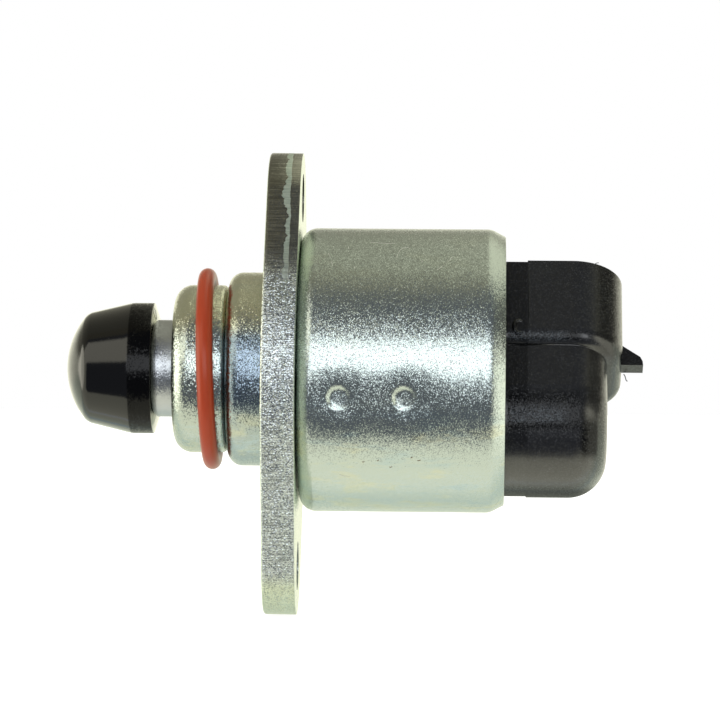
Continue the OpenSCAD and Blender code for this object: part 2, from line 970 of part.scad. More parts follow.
// A contact blade in the shroud, and its lead that runs through the housing to the coils.
module terminal(index) {
    y = (index - 2.5) * pin_pitch;
    plug_frame()
        translate([0, y, 0])
            union() {
                block(
                    [pin_x - pin_t / 2, -pin_w / 2, leg_z - leg_t / 2],
                    [pin_x + pin_t / 2, pin_w / 2, pin_top]
                );
                block([leg_x, -leg_w / 2, leg_z - leg_t / 2], [pin_x, leg_w / 2, leg_z + leg_t / 2]);
                block([leg_x, -leg_w / 2, leg_z - leg_t / 2], [leg_x + leg_t, leg_w / 2, leg_m + leg_t / 2]);
                block(
                    [lead_back, -leg_w / 2, leg_m - leg_t / 2],
                    [leg_x + leg_t, leg_w / 2, leg_m + leg_t / 2]
                );
            }
}

module terminal_1() color("gold") terminal(1);
module terminal_2() color("gold") terminal(2);
module terminal_3() color("gold") terminal(3);
module terminal_4() color("gold") terminal(4);

can();
mounting_flange();
nose_cover();
nose_o_ring();
valve_head();
pintle_sleeve();
lead_screw();
return_spring();
screw_guide();
bearing_outer_race();
bearing_inner_race();
bearing_balls();
bearing_cage();
rotor_hub();
ring_magnet();
claw_cup_1();
claw_cup_2();
claw_cup_3();
claw_cup_4();
front_bobbin();
rear_bobbin();
front_winding();
rear_winding();
rear_bush();
preload_washer();
housing_seal();
connector_housing();
terminal_1();
terminal_2();
terminal_3();
terminal_4();
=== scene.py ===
import json
import math

import bmesh
import bpy
from mathutils import Matrix, Vector


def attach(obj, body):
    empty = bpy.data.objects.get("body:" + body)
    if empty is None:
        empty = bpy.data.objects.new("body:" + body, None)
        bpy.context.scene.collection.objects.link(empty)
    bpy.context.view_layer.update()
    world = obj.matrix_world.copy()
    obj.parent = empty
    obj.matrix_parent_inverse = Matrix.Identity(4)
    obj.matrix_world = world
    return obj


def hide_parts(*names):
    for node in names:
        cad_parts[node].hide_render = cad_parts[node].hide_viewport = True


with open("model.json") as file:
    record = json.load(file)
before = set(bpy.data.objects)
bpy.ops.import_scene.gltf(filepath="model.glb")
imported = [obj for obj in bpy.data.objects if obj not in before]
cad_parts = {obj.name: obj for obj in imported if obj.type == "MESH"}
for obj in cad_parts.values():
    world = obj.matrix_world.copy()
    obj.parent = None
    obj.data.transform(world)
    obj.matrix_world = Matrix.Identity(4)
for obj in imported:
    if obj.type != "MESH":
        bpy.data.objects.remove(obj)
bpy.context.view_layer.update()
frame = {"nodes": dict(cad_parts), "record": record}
nodes = frame["nodes"]
BODY_OF = {node: body for body, names in frame["record"]["behaviour"]["bodies"].items() for node in names}
MM = 0.001


# Materials

def new_material(name, colour, metallic, roughness, **constants):
    material = bpy.data.materials.new(name)
    material.use_nodes = True
    shader = material.node_tree.nodes["Principled BSDF"]
    shader.inputs["Base Color"].default_value = (*colour, 1)
    shader.inputs["Metallic"].default_value = metallic
    shader.inputs["Roughness"].default_value = roughness
    for socket, value in constants.items():
        shader.inputs[socket.replace("_", " ")].default_value = value
    return material


def node_group(name, inputs, outputs):
    group = bpy.data.node_groups.new(name, "ShaderNodeTree")
    for label, kind in inputs:
        group.interface.new_socket(label, in_out="INPUT", socket_type=kind)
    for label, kind in outputs:
        group.interface.new_socket(label, in_out="OUTPUT", socket_type=kind)
    return group, group.nodes.new("NodeGroupInput"), group.nodes.new("NodeGroupOutput")


def maths(tree, operation, first, second=0.0, third=0.0):
    node = tree.nodes.new("ShaderNodeMath")
    node.operation = operation
    for socket, value in zip(node.inputs, (first, second, third)):
        if isinstance(value, (int, float)):
            socket.default_value = value
        else:
            tree.links.new(value, socket)
    return node.outputs[0]


def product(tree, first, *others):
    for other in others:
        first = maths(tree, "MULTIPLY", first, other)
    return first


def noise(tree, vector, detail=3.0, roughness=0.6):
    node = tree.nodes.new("ShaderNodeTexNoise")
    node.inputs["Scale"].default_value = 1.0
    node.inputs["Detail"].default_value = detail
    node.inputs["Roughness"].default_value = roughness
    tree.links.new(vector, node.inputs["Vector"])
    return node.outputs["Fac"]


def object_coordinates(tree):
    return tree.nodes.new("ShaderNodeTexCoord").outputs["Object"]


def bump(tree, height, distance, normal):
    node = tree.nodes.new("ShaderNodeBump")
    node.inputs["Strength"].default_value = 1.0
    node.inputs["Distance"].default_value = distance
    tree.links.new(height, node.inputs["Height"])
    tree.links.new(normal, node.inputs["Normal"])
    return node.outputs["Normal"]


def mixed(tree, factor, first, second):
    node = tree.nodes.new("ShaderNodeMix")
    node.data_type = "RGBA"
    tree.links.new(factor, node.inputs["Factor"])
    for socket, value in (("A", first), ("B", second)):
        if isinstance(value, tuple):
            node.inputs[socket].default_value = (*value, 1)
        else:
            tree.links.new(value, node.inputs[socket])
    return node.outputs["Result"]


def ramp(tree, value, low, high, start=0.0, end=1.0):
    node = tree.nodes.new("ShaderNodeMapRange")
    node.interpolation_type = "SMOOTHSTEP"
    tree.links.new(value, node.inputs["Value"])
    node.inputs["From Min"].default_value = low
    node.inputs["From Max"].default_value = high
    node.inputs["To Min"].default_value = start
    node.inputs["To Max"].default_value = end
    return node.outputs["Result"]


def band(tree, value, rise, fall):
    """0 up to the pair rise, 1 between the pairs and 0 again past the pair fall."""
    return product(tree, ramp(tree, value, *rise), ramp(tree, value, *fall, 1.0, 0.0))


def split(tree, vector):
    node = tree.nodes.new("ShaderNodeSeparateXYZ")
    tree.links.new(vector, node.inputs[0])
    return node.outputs


def vector_maths(tree, operation, first, second=None, third=None):
    node = tree.nodes.new("ShaderNodeVectorMath")
    node.operation = operation
    for socket, value in zip(node.inputs, (first, second, third)):
        if isinstance(value, tuple):
            socket.default_value = value
        elif value is not None:
            tree.links.new(value, socket)
    return node


def stretched(tree, vector, factors):
    return vector_maths(tree, "MULTIPLY", vector, factors).outputs[0]


# Grain: tiny facets, most of them level and a few well tilted.
grain, source, result = node_group(
    "grain",
    [("Vector", "NodeSocketVector"), ("Cells", "NodeSocketFloat"), ("Tilt", "NodeSocketFloat")],
    [("Normal", "NodeSocketVector"), ("Random", "NodeSocketFloat")])
cells = grain.nodes.new("ShaderNodeTexVoronoi")
grain.links.new(source.outputs["Vector"], cells.inputs["Vector"])
grain.links.new(source.outputs["Cells"], cells.inputs["Scale"])
signed = vector_maths(grain, "MULTIPLY_ADD", cells.outputs["Color"], (2, 2, 2), (-1, -1, -1)).outputs[0]
square = vector_maths(grain, "MULTIPLY", signed, signed).outputs[0]
tail = vector_maths(grain, "MULTIPLY_ADD", square, (0.95, 0.95, 0.95), (0.22, 0.22, 0.22)).outputs[0]
tilted = vector_maths(grain, "SCALE", vector_maths(grain, "MULTIPLY", tail, signed).outputs[0])
grain.links.new(source.outputs["Tilt"], tilted.inputs["Scale"])
surface = grain.nodes.new("ShaderNodeNewGeometry").outputs["Normal"]
leaning = vector_maths(grain, "ADD", surface, tilted.outputs[0]).outputs[0]
grain.links.new(vector_maths(grain, "NORMALIZE", leaning).outputs[0], result.inputs["Normal"])
grain.links.new(split(grain, cells.outputs["Color"])[0], result.inputs["Random"])


def add_grain(tree, vector, cells, tilt):
    group = tree.nodes.new("ShaderNodeGroup")
    group.node_tree = grain
    tree.links.new(vector, group.inputs["Vector"])
    group.inputs["Cells"].default_value = cells
    if isinstance(tilt, float):
        group.inputs["Tilt"].default_value = tilt
    else:
        tree.links.new(tilt, group.inputs["Tilt"])
    return group.outputs


# Plated sheet: the grain in the zinc, and faint blue and yellow stains drawn out along X.
plated, source, result = node_group(
    "plated_sheet",
    [("Cells", "NodeSocketFloat"), ("Tilt", "NodeSocketFloat"), ("Tint", "NodeSocketColor"),
     ("Stain", "NodeSocketFloat")],
    [("Color", "NodeSocketColor"), ("Roughness", "NodeSocketFloat"), ("Normal", "NodeSocketVector")])
where = object_coordinates(plated)
facets = plated.nodes.new("ShaderNodeGroup")
facets.node_tree = grain
plated.links.new(where, facets.inputs["Vector"])
for socket in ("Cells", "Tilt"):
    plated.links.new(source.outputs[socket], facets.inputs[socket])
plated.links.new(facets.outputs["Normal"], result.inputs["Normal"])
# The stains are weak above the middle.
STAINED_BELOW = (-0.003, -0.009)
stained = ramp(plated, split(plated, where)[2], *STAINED_BELOW, 0.15, 1.0)
stained = product(plated, stained, source.outputs["Stain"])
yellow = ramp(plated, noise(plated, stretched(plated, where, (150, 330, 330))), 0.50, 0.70)
blue = ramp(plated, noise(plated, stretched(plated, where, (110, 380, 380))), 0.53, 0.72)
warm = mixed(plated, product(plated, yellow, stained), source.outputs["Tint"], (0.60, 0.60, 0.44))
cool = mixed(plated, product(plated, blue, stained), warm, (0.42, 0.53, 0.57))
plated.links.new(cool, result.inputs["Color"])
plated.links.new(ramp(plated, facets.outputs["Random"], 0.0, 1.0, 0.14, 0.20), result.inputs["Roughness"])


def plated_material(name, tint, cells, tilt, stain):
    material = new_material(name, tint, 1.0, 0.15)
    tree = material.node_tree
    group = tree.nodes.new("ShaderNodeGroup")
    group.node_tree = plated
    group.inputs["Cells"].default_value = cells
    group.inputs["Tilt"].default_value = tilt
    group.inputs["Tint"].default_value = (*tint, 1)
    group.inputs["Stain"].default_value = stain
    shader = tree.nodes["Principled BSDF"]
    tree.links.new(group.outputs["Color"], shader.inputs["Base Color"])
    tree.links.new(group.outputs["Roughness"], shader.inputs["Roughness"])
    tree.links.new(group.outputs["Normal"], shader.inputs["Normal"])
    return material


zinc = plated_material("zinc_can", (0.505, 0.565, 0.54), 15000, 0.2, 0.6)
nose_metal = plated_material("nose_metal", (0.50, 0.555, 0.51), 10500, 0.22, 0.6)

# The nose cover is painted with light: a yellowish painted reflection above, a greener painted reflection
# below and a bluish painted shadow across its shoulder.
# Pairs of places, in metres, say where one look ends and where the next is full.
STEP_FRONT, SHOULDER_FRONT = (-0.0066, -0.0056), (-0.0054, -0.0044)
PAINTED_SHADOW_EDGE, PAINTED_LIGHT_ABOVE = (0.0035, 0.006), (0.0035, 0.0065)
tree = nose_metal.node_tree
place = split(tree, object_coordinates(tree))
# Painted reflection on the lower side, changing at the step's front.
lower = mixed(tree, ramp(tree, place[0], *STEP_FRONT), (0.48, 0.53, 0.49), (0.40, 0.46, 0.46))
# Painted shadow across the shoulder.
painted_shadow = product(tree, ramp(tree, maths(tree, "ABSOLUTE", place[2]), *PAINTED_SHADOW_EDGE, 1.0, 0.0),
                 ramp(tree, place[0], *SHOULDER_FRONT))
lower = mixed(tree, painted_shadow, lower, (0.25, 0.31, 0.37))
# Painted light on the upper side.
tint = mixed(tree, ramp(tree, place[2], *PAINTED_LIGHT_ABOVE), lower, (0.68, 0.69, 0.54))
tree.links.new(tint, tree.nodes["Group"].inputs["Tint"])

# The flange's edge has drag lines across the plate, a wavy torn strip in its upper part and a coarse grain in
# its lower part.
# Its edge is painted darker above and lighter below, greenish at the tip, as painted shade and painted
# reflection. Its faces are plain.
FACE_TURN = (0.6, 0.9)
UPPER_EDGE, ABOVE_TIP = (0.009, 0.016), (-0.028, -0.025)
STRIP_START, STRIP_END = (0.0037, 0.00375), (0.00338, 0.00342)
START_WAVE, END_WAVE, LINE_DEPTH = 0.0024, 0.0005, 0.000012
flange_metal = new_material("flange_metal", (0.5, 0.52, 0.5), 1.0, 0.3)
tree = flange_metal.node_tree
shader = tree.nodes["Principled BSDF"]
where = object_coordinates(tree)
place = split(tree, where)
facing = split(tree, tree.nodes.new("ShaderNodeNewGeometry").outputs["Normal"])[0]
faces = ramp(tree, maths(tree, "ABSOLUTE", facing), *FACE_TURN)
upper = ramp(tree, place[2], *UPPER_EDGE)
lines = noise(tree, stretched(tree, where, (300, 8200, 8200)), 2.0)
wave = noise(tree, stretched(tree, where, (0, 380, 380)), 4.0, 0.62)
start = maths(tree, "MULTIPLY_ADD", wave, START_WAVE, place[0])
end = maths(tree, "MULTIPLY_ADD", wave, END_WAVE, place[0])
torn = product(tree, ramp(tree, start, *STRIP_START), ramp(tree, end, *STRIP_END, 1.0, 0.0),
               maths(tree, "MULTIPLY_ADD", upper, 0.75, 0.12))
leaned = add_grain(tree, stretched(tree, where, (0.6, 1, 1)), 14000.0,
                   ramp(tree, upper, 0.0, 1.0, 0.5, 0.1))["Normal"]
tree.links.new(bump(tree, lines, LINE_DEPTH, leaned), shader.inputs["Normal"])
streaks = ramp(tree, lines, 0.38, 0.66)
# Painted light: the lower part of the edge is painted lighter, and greenish at the tip as a painted
# reflection of the floor.
lower_streaks_and_painted_light = mixed(tree, streaks, (0.42, 0.455, 0.46), (0.60, 0.65, 0.67))
lower_streaks_and_painted_light = mixed(tree, ramp(tree, place[2], *ABOVE_TIP), (0.54, 0.59, 0.48), lower_streaks_and_painted_light)
# Painted shade: the upper part of the edge is painted darker.
upper_streaks_and_painted_shade = mixed(tree, streaks, (0.18, 0.18, 0.155), (0.33, 0.33, 0.29))
torn_tint = mixed(tree, streaks, (0.50, 0.60, 0.54), (0.72, 0.80, 0.73))
edge_tint_and_painted_light = mixed(tree, torn, mixed(tree, upper, lower_streaks_and_painted_light, upper_streaks_and_painted_shade), torn_tint)
tree.links.new(mixed(tree, faces, edge_tint_and_painted_light, (0.70, 0.76, 0.66)), shader.inputs["Base Color"])
tree.links.new(ramp(tree, torn, 0.0, 1.0, 0.22, 0.5), shader.inputs["Roughness"])

# The valve head: glossy on its cone, grained on the cylinder behind it, with a pale painted highlight on its
# heel at top and bottom.
BEHIND_CONE, CYLINDER_END = (-0.0175, -0.0172), (-0.0146, -0.0144)
HEEL_HIGHLIGHT_FRONT, HEEL_HIGHLIGHT_SIDES = (-0.01455, -0.0144), (0.0052, 0.006)
HEAD_BLACK = (0.0004, 0.0004, 0.0006)
black_head = new_material("black_head", HEAD_BLACK, 0.0, 0.12, Specular_IOR_Level=0.14,
                          Coat_IOR=1.45, Coat_Roughness=0.1)
tree = black_head.node_tree
shader = tree.nodes["Principled BSDF"]
where = object_coordinates(tree)
place = split(tree, where)
cylinder = band(tree, place[0], BEHIND_CONE, CYLINDER_END)
tree.links.new(ramp(tree, cylinder, 0.0, 1.0, 0.11, 0.2), shader.inputs["Roughness"])
tree.links.new(ramp(tree, cylinder, 0.0, 1.0, 1.0, 0.1), shader.inputs["Coat Weight"])
# A painted highlight on the back bevel, at its top and bottom only.
painted_heel_highlight = product(tree, ramp(tree, place[0], *HEEL_HIGHLIGHT_FRONT),
               ramp(tree, maths(tree, "ABSOLUTE", place[2]), *HEEL_HIGHLIGHT_SIDES))
tree.links.new(mixed(tree, painted_heel_highlight, HEAD_BLACK, (0.42, 0.42, 0.33)), shader.inputs["Base Color"])
leaned = add_grain(tree, where, 6000.0, ramp(tree, cylinder, 0.0, 1.0, 0.03, 0.13))["Normal"]
tree.links.new(leaned, shader.inputs["Normal"])

sleeve_metal = new_material("sleeve_metal", (0.49, 0.51, 0.53), 1.0, 0.33)
tree = sleeve_metal.node_tree
leaned = add_grain(tree, stretched(tree, object_coordinates(tree), (0.8, 1, 1)), 11000.0, 0.14)["Normal"]
tree.links.new(leaned, tree.nodes["Principled BSDF"].inputs["Normal"])

# The connector housing: a gloss coat over a spark-eroded grain. The coat is thinner on the neck, at the
# block's bottom, right end and corner, and rubbed off in two bands on the near side, where the grain is
# painted bright as a painted highlight.
AFTER_NECK, NECK_BOTTOM = (0.0327, 0.0331), (-0.0105, -0.0085)
ABOVE_BOTTOM, BOTTOM_COAT = (-0.0152, -0.0138), (-0.0157, -0.0132)
RUBBED_START, RUBBED_END = (-0.0078, -0.0066), (-0.0038, -0.0012)
HIGHLIGHT_START, HIGHLIGHT_END = (-0.0066, -0.006), (-0.0053, -0.0036)
SHROUD_START, SHROUD_END = (0.0036, 0.0043), (0.0048, 0.0053)
NEAR_SIDE, BANDS_START, BANDS_END = (-0.0075, -0.005), (0.0302, 0.0306), (0.0385, 0.0412)
HIGHLIGHT_STOP, RIGHT_END = (0.0366, 0.0386), (0.0408, 0.0430)
CORNER_START, CORNER_END = (0.039, 0.0402), (0.0414, 0.042)
CORNER_LOW, CORNER_HIGH = (-0.0118, -0.0095), (-0.0072, -0.0042)
black_housing = new_material("black_housing", (0.0018, 0.0020, 0.0024), 0.0, 0.25, IOR=1.32, Coat_IOR=1.76,
                             Coat_Roughness=0.22)
tree = black_housing.node_tree
shader = tree.nodes["Principled BSDF"]
where = object_coordinates(tree)
place = split(tree, where)
dull = ramp(tree, place[2], *ABOVE_BOTTOM, 0.6, 0.1)
tree.links.new(maths(tree, "MAXIMUM", ramp(tree, place[0], *AFTER_NECK, 0.17, 0.24), dull),
               shader.inputs["Roughness"])
near_side = product(tree, ramp(tree, place[1], *NEAR_SIDE, 1.0, 0.0),
                    band(tree, place[0], BANDS_START, BANDS_END))
shroud = band(tree, place[2], SHROUD_START, SHROUD_END)
rubbed = maths(tree, "MAXIMUM", band(tree, place[2], RUBBED_START, RUBBED_END), shroud)
# Painted highlight: the grain is painted bright in the two bands on the near side.
bright = maths(tree, "MAXIMUM", band(tree, place[2], HIGHLIGHT_START, HIGHLIGHT_END), shroud)
rubbed = product(tree, rubbed, near_side)
bright = product(tree, bright, near_side, ramp(tree, place[0], *HIGHLIGHT_STOP, 1.0, 0.0))
neck = maths(tree, "MAXIMUM", ramp(tree, place[0], *AFTER_NECK, 0.5, 1.0),
             ramp(tree, place[2], *NECK_BOTTOM, 1.0, 0.5))
worn_corner = product(tree, band(tree, place[0], CORNER_START, CORNER_END),
                      band(tree, place[2], CORNER_LOW, CORNER_HIGH))
gloss = product(tree, ramp(tree, place[2], *BOTTOM_COAT, 0.12, 1.0),
                ramp(tree, place[0], *RIGHT_END, 1.0, 0.5), neck,
                ramp(tree, worn_corner, 0.0, 1.0, 1.0, 0.0), ramp(tree, rubbed, 0.0, 1.0, 1.0, 0.02))
tree.links.new(gloss, shader.inputs["Coat Weight"])
facets = add_grain(tree, where, 8500.0, 0.2)
chance = facets["Random"]
speck = mixed(tree, ramp(tree, chance, 0.75, 1.0), (0.0002, 0.0003, 0.0006), (0.014, 0.015, 0.017))
# The bright specks of the painted highlight.
painted_highlight_speck = mixed(tree, ramp(tree, chance, 0.45, 1.0), (0.006, 0.007, 0.009), (0.044, 0.052, 0.06))
tree.links.new(mixed(tree, bright, speck, painted_highlight_speck), shader.inputs["Base Color"])
tree.links.new(facets["Normal"], shader.inputs["Normal"])

red_rubber = new_material("red_rubber", (0.29, 0.034, 0.009), 0.0, 0.3, Specular_IOR_Level=0.3)
steel = new_material("steel", (0.6, 0.6, 0.6), 1.0, 0.3)
nylon = new_material("nylon", (0.8, 0.78, 0.7), 0.0, 0.45)
copper = new_material("copper", (0.6, 0.25, 0.1), 1.0, 0.35)
bronze = new_material("bronze", (0.5, 0.33, 0.15), 1.0, 0.45)
brass = new_material("brass", (0.65, 0.5, 0.25), 1.0, 0.3)
ferrite = new_material("ferrite", (0.06, 0.06, 0.065), 0.0, 0.5)
black_rubber = new_material("black_rubber", (0.02, 0.02, 0.02), 0.0, 0.5)
tin = new_material("tin", (0.72, 0.72, 0.70), 1.0, 0.25)

FINISHES = {
    "can_zinc": zinc, "flange_steel": flange_metal, "nose_zinc": nose_metal,
    "seal_red": red_rubber, "head_black": black_head, "sleeve_steel": sleeve_metal,
    "screw_steel": steel, "spring_steel": steel, "nylon_white": nylon,
    "bearing_steel": steel, "cage_brass": brass, "magnet_ferrite": ferrite,
    "core_iron": steel, "bobbin_white": nylon, "coil_copper": copper,
    "bush_bronze": bronze, "seal_black": black_rubber, "housing_black": black_housing,
    "terminal_tin": tin,
}

for subpart in frame["record"]["subparts"]:
    piece = nodes[subpart["node"]]
    piece.data.materials.clear()
    piece.data.materials.append(FINISHES[subpart["material_slot"]])


# Turned pieces

def add_object(name, data):
    thing = bpy.data.objects.new(name, data)
    bpy.context.scene.collection.objects.link(thing)
    return thing


def finish_piece(name, shape, material, replaced, sharp=32):
    mesh = bpy.data.meshes.new(name)
    shape.to_mesh(mesh)
    shape.free()
    mesh.shade_smooth()
    mesh.set_sharp_from_angle(angle=math.radians(sharp))
    mesh.materials.append(material)
    piece = add_object(name, mesh)
    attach(piece, BODY_OF[replaced])
    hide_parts(replaced)


def near(value, target):
    return abs(value - target) < 1e-6


def full_spin(shape, steps):
    """Spins an outline once about the valve axis and closes the surface."""
    bmesh.ops.spin(shape, geom=shape.verts[:] + shape.edges[:], cent=(0, 0, 0), axis=(1, 0, 0),
                   dvec=(0, 0, 0), angle=2 * math.pi, steps=steps, use_merge=True, use_duplicate=False)
    bmesh.ops.remove_doubles(shape, verts=shape.verts, dist=1e-8)
    bmesh.ops.recalc_face_normals(shape, faces=shape.faces)


def spin_outline(corners, steps=160, closed=True):
    """Spins corners (place along X, radius), in millimetres, about the valve axis."""
    shape = bmesh.new()
    points = [shape.verts.new((x * MM, 0, r * MM)) for x, r in corners]
    pairs = list(zip(points, points[1:]))
    if closed:
        pairs.append((points[-1], points[0]))
    for pair in pairs:
        shape.edges.new(pair)
    full_spin(shape, steps)
    return shape


def round_edges(shape, edges, radius, segments):
    bmesh.ops.bevel(shape, geom=edges, offset=radius * MM, offset_type="OFFSET", segments=segments,
                    profile=0.5, affect="EDGES", material=-1)


def round_ring(shape, x, r, radius, segments):
    """Rounds the circular edge at place x and radius r, in millimetres."""
    ring = [edge for edge in shape.edges
            if all(near(v.co.x, x * MM) and near(math.hypot(v.co.y, v.co.z), r * MM) for v in edge.verts)]
    round_edges(shape, ring, radius, segments)


def arc(middle_x, middle_r, radius, start, end, count):
    """Points on an arc; the angle is 0 towards +X and 90 away from the axis."""
    turns = [math.radians(start + (end - start) * i / count) for i in range(count + 1)]
    return [(middle_x + radius * math.cos(a), middle_r + radius * math.sin(a)) for a in turns]


# The valve head: a domed tip, a cone, a short cylinder and a small bevel at the back.
DOME_R = 10.4
CONE_FRONT, CONE_BACK, HEAD_BACK, HEEL = -22.9, -17.3, -14.45, -13.9
CONE_R, HEAD_R, SLEEVE_R, HEEL_WIDTH = 6.95, 8.3, 6.16, 0.4
SLEEVE_FRONT, SLEEVE_FLOOR, SLEEVE_BACK, SLEEVE_BORE_R = -16.55, -15.6, -3.5, 5.21
SCREW_FRONT, SCREW_R = -21.1, 2.4
dome_x = CONE_FRONT + math.sqrt(DOME_R ** 2 - CONE_R ** 2)
dome_edge = math.degrees(math.asin(CONE_R / DOME_R))
head_corners = arc(dome_x, 0, DOME_R, 180, 180 - dome_edge, 12)[:-1]
head_corners += [(CONE_FRONT, CONE_R), (CONE_BACK, HEAD_R), (HEAD_BACK, HEAD_R),
                 (HEEL, SLEEVE_R + HEEL_WIDTH), (HEEL, SLEEVE_R), (SLEEVE_FRONT, SLEEVE_R),
                 (SLEEVE_FRONT, SCREW_R), (SCREW_FRONT, SCREW_R), (SCREW_FRONT, 0)]
shape = spin_outline(head_corners, closed=False)
round_ring(shape, CONE_FRONT, CONE_R, 0.55, 6)
round_ring(shape, CONE_BACK, HEAD_R, 0.5, 4)
round_ring(shape, HEAD_BACK, HEAD_R, 0.12, 3)
finish_piece("head_moulding", shape, black_head, "valve_head")

shape = spin_outline([
    (SLEEVE_FRONT, SLEEVE_R), (SLEEVE_BACK, SLEEVE_R), (SLEEVE_BACK, SLEEVE_BORE_R),
    (SLEEVE_FLOOR, SLEEVE_BORE_R), (SLEEVE_FLOOR, SCREW_R), (SLEEVE_FRONT, SCREW_R)])
finish_piece("sleeve_tube", shape, sleeve_metal, "pintle_sleeve")

# The nose cover: a drawn cup with a step, and a flat rim inside the can.
NOSE_FRONT, NOSE_R, NOSE_HOLE = -11.8, 10.65, 6.35
STEP_X, STEP_R, COVER_T = -4.95, 12.3, 1.2
RIM_FRONT, RIM_BACK, RIM_R = 4.2, 5.4, 15
shape = spin_outline([
    (NOSE_FRONT, NOSE_HOLE), (NOSE_FRONT, NOSE_R), (STEP_X, NOSE_R), (STEP_X, STEP_R), (RIM_FRONT, STEP_R),
    (RIM_FRONT, RIM_R), (RIM_BACK, RIM_R), (RIM_BACK, STEP_R - COVER_T), (STEP_X + COVER_T, STEP_R - COVER_T),
    (STEP_X + COVER_T, NOSE_R - COVER_T), (NOSE_FRONT + COVER_T, NOSE_R - COVER_T),
    (NOSE_FRONT + COVER_T, NOSE_HOLE)])
round_ring(shape, NOSE_FRONT, NOSE_R, 2.3, 12)
round_ring(shape, NOSE_FRONT, NOSE_HOLE, 0.5, 5)
round_ring(shape, STEP_X, STEP_R, 1.85, 10)
round_ring(shape, STEP_X, NOSE_R, 0.8, 6)
round_ring(shape, NOSE_FRONT + COVER_T, NOSE_R - COVER_T, 1.1, 6)
finish_piece("nose_shell", shape, nose_metal, "nose_cover")

# The seal ring sits a little askew on the nose.
SEAL_R, SEAL_T, SEAL_X, SEAL_TILT = 11.75, 2.1, -7.35, 1.96
shape = bmesh.new()
bmesh.ops.create_circle(shape, cap_ends=False, radius=SEAL_T / 2 * MM, segments=36)
bmesh.ops.rotate(shape, verts=shape.verts, matrix=Matrix.Rotation(math.pi / 2, 3, "X"))
bmesh.ops.translate(shape, verts=shape.verts, vec=(0, 0, SEAL_R * MM))
full_spin(shape, 180)
bmesh.ops.rotate(shape, verts=shape.verts, matrix=Matrix.Rotation(math.radians(-SEAL_TILT), 3, "Y"))
bmesh.ops.translate(shape, verts=shape.verts, vec=(SEAL_X * MM, 0, 0))
finish_piece("seal_ring", shape, red_rubber, "nose_o_ring", 60)

# The can: a drawn cup whose rear end is crimped over the housing's disc, with pressed dimples.
CAN_R, CAN_T, CAN_FRONT, CAN_END, CAN_HOLE = 18.0, 1.1, 4.2, 30.15, 15.03
CRIMP_LENGTH, CRIMP_DROP = 1.85, 0.98
CRIMP_X, CRIMP_R = CAN_END - CRIMP_LENGTH, CAN_R - CRIMP_DROP
lip = Vector((CRIMP_DROP, CRIMP_LENGTH)).normalized() * CAN_T
LIP_X, LIP_R = CAN_END - lip.x, CRIMP_R - lip.y
INNER_R = CAN_R - CAN_T
inner_x = LIP_X - (INNER_R - LIP_R) * CRIMP_LENGTH / CRIMP_DROP
# Close rings along the wall give the dimples something to bend.
WALL_START, RING_GAP, RING_COUNT = CAN_FRONT + 2.3, 0.25, 85
wall_rings = [(WALL_START + RING_GAP * i, CAN_R) for i in range(RING_COUNT)]
shape = spin_outline(
    [(CAN_FRONT, CAN_HOLE), (CAN_FRONT, CAN_R)] + wall_rings +
    [(CRIMP_X, CAN_R), (CAN_END, CRIMP_R), (LIP_X, LIP_R), (inner_x, INNER_R), (CAN_FRONT + CAN_T, INNER_R),
     (CAN_FRONT + CAN_T, CAN_HOLE)], steps=440)
round_ring(shape, CAN_FRONT, CAN_R, 2.1, 14)
round_ring(shape, CRIMP_X, CAN_R, 0.45, 5)
round_ring(shape, CAN_END, CRIMP_R, 0.12, 3)
round_ring(shape, CAN_FRONT + CAN_T, INNER_R, 1.0, 6)

SINK_DEPTH, SINK_SPREAD, SINK_REACH = 0.44, 3.2, 9
PUNCH_R, PUNCH_DEPTH, PUNCH_WALL = 1.0, 0.22, 0.6
DEEP_SIDE, SIDE_DEPTH, SIDE_WALL = math.radians(150), 0.15, 0.2


def dimple_sink(along, across):
    """How deep the sheet is pressed at a place beside a dimple's middle, in millimetres."""
    distance = math.hypot(along, across)
    broad = SINK_DEPTH * math.exp(-(distance / SINK_SPREAD) ** 2)
    side = math.cos(math.atan2(across, along) - DEEP_SIDE)
    width = PUNCH_WALL + SIDE_WALL * side
    wall = min(1.0, max(0.0, (PUNCH_R + width - distance) / width))
    depth = PUNCH_DEPTH + SIDE_DEPTH * side * min(1.0, distance)
    return broad + depth * wall * wall * (3 - 2 * wall)


DIMPLE_X = (9.65, 17.75)
DIMPLE_TURNS = [math.radians(90 + 11.4 + 120 * i) for i in range(3)]
outer = [v for v in shape.verts if math.hypot(v.co.y, v.co.z) > (CAN_R - 0.05) * MM]
for turn in DIMPLE_TURNS:
    outward = Vector((0, -math.sin(turn), math.cos(turn)))
    upward = Vector((0, math.cos(turn), math.sin(turn)))
    for x in DIMPLE_X:
        middle = outward * CAN_R * MM + Vector((x * MM, 0, 0))
        for v in outer:
            beside = v.co - middle
            if beside.length < SINK_REACH * MM:
                v.co -= outward * dimple_sink(beside.x / MM, beside.dot(upward) / MM) * MM
finish_piece("can_shell", shape, zinc, "can", 40)


# The flange leans a little on the can, and its front edge is rolled over by the punch.
FLANGE_T, FLANGE_LEAN, PIVOT_Z = 4.2, 0.38, 8.4
HOLE_PLACES, PAST_HOLE, PAST_NECK = (21.8, -25.0), 3.3, 13


def merged_copy(node):
    shape = bmesh.new()
    shape.from_mesh(nodes[node].data)
    bmesh.ops.remove_doubles(shape, verts=shape.verts, dist=2e-6)
    bmesh.ops.dissolve_limit(shape, angle_limit=math.radians(0.3), verts=shape.verts, edges=shape.edges)
    return shape


def on_rim(v, x):
    """Whether a corner lies on the plate's outline at place x, clear of the holes and of the middle."""
    flat = Vector((0, v.co.y, v.co.z))
    clear = all((flat - Vector((0, 0, z * MM))).length > PAST_HOLE * MM for z in HOLE_PLACES)
    return clear and abs(v.co.x - x * MM) < 2e-6 and flat.length > PAST_NECK * MM


